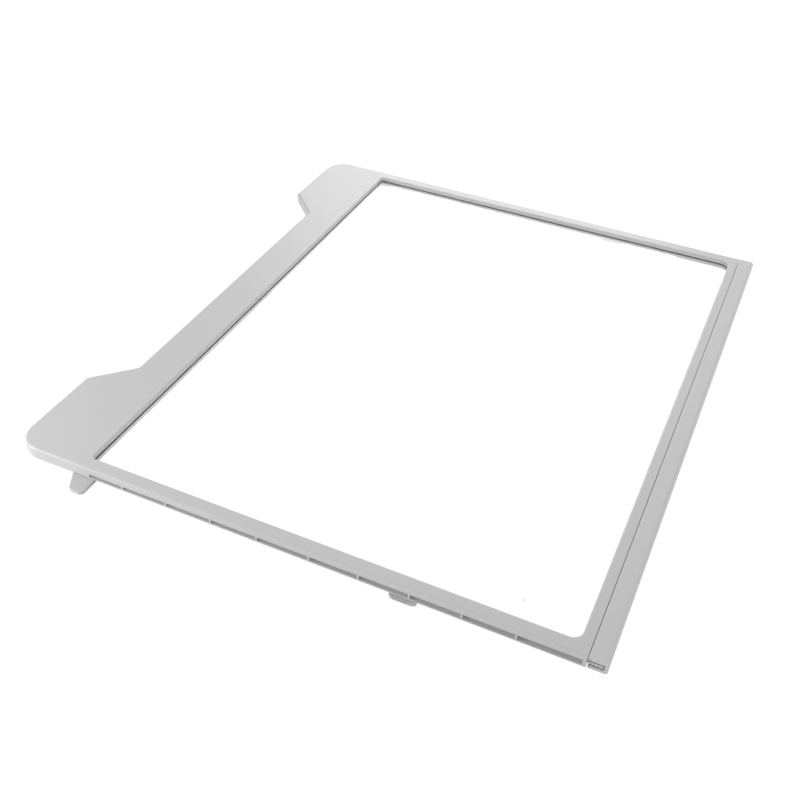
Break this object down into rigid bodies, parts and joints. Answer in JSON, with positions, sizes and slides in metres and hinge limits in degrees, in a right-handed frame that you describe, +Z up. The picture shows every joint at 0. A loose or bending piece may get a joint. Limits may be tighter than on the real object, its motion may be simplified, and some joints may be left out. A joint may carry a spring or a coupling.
{
  "type": "refrigerator shelf",
  "caption": "Flat refrigerator shelf: a glass panel in a moulded frame with ribbed side channels, side lugs, two rear ears round an air notch, and a clip-on front trim.",
  "frame": {"origin": "middle of the shelf's footprint, level with the undersides of the side lugs", "axes": "+X across the shelf from one side rail to the other, -Y towards the front trim, +Y towards the rear ears, +Z up through the glass"},
  "size_m": [0.4746, 0.3962, 0.0116],
  "materials": {
    "frame_plastic": "moulded light grey plastic with a soft satin sheen",
    "clear_glass": "clear tempered glass, polished on both faces",
    "trim_plastic": "moulded light grey plastic with a soft satin sheen"
  },
  "bodies": {
    "root": {"shelf_frame": "frame_plastic", "glass_panel": "clear_glass", "front_trim": "trim_plastic"}
  },
  "joints": []
}
